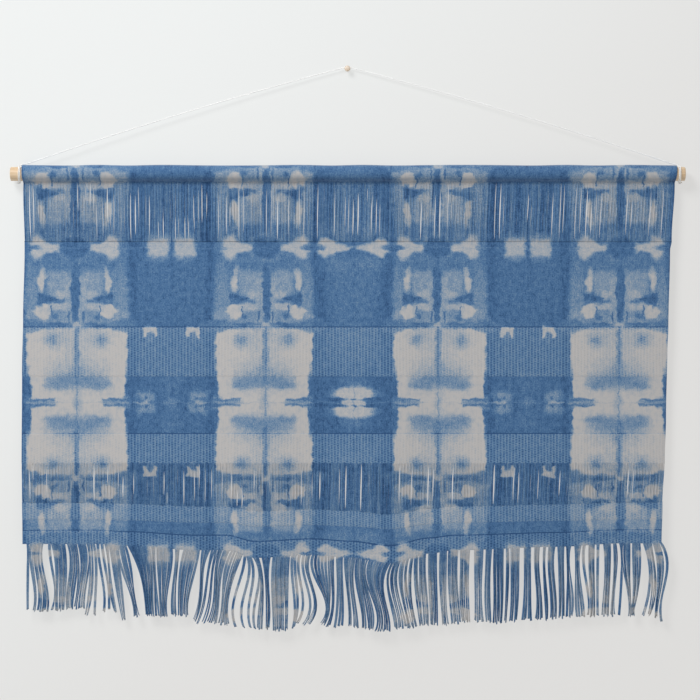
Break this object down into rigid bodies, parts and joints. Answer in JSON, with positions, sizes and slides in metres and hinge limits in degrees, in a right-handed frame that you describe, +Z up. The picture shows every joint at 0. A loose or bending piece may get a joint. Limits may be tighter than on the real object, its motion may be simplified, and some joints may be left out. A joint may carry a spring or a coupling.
{
  "type": "shibori dyed cloth with its rod, hanging cord and wall peg",
  "caption": "Landscape wall cloth in fold-dyed indigo, its top sewn round a wooden rod, woven in plain, textured and open bands, with a long warp fringe, a taut cord and a wall peg.",
  "frame": {"origin": "centre of the wall peg's flat back face, on the wall plane", "axes": "+X to the right along the rod, +Y into the wall, +Z up; the cloth's face looks along -Y"},
  "size_m": [1.2285, 0.0312, 1.0319],
  "materials": {
    "dyed_cotton": "matte woven cotton, fold-dyed indigo on undyed grey beige",
    "dyed_fringe": "matte loose cotton warp ends, dyed with the cloth",
    "rod_wood": "bare pale pine, satin",
    "peg_wood": "bare turned wood, satin",
    "cord_cotton": "matte twisted natural cotton"
  },
  "bodies": {
    "root": {"cloth": "dyed_cotton", "fringe": "dyed_fringe", "rod": "rod_wood", "wall_peg": "peg_wood", "hanging_cord": "cord_cotton", "cord_knot_left": "cord_cotton", "cord_knot_right": "cord_cotton"}
  },
  "joints": []
}
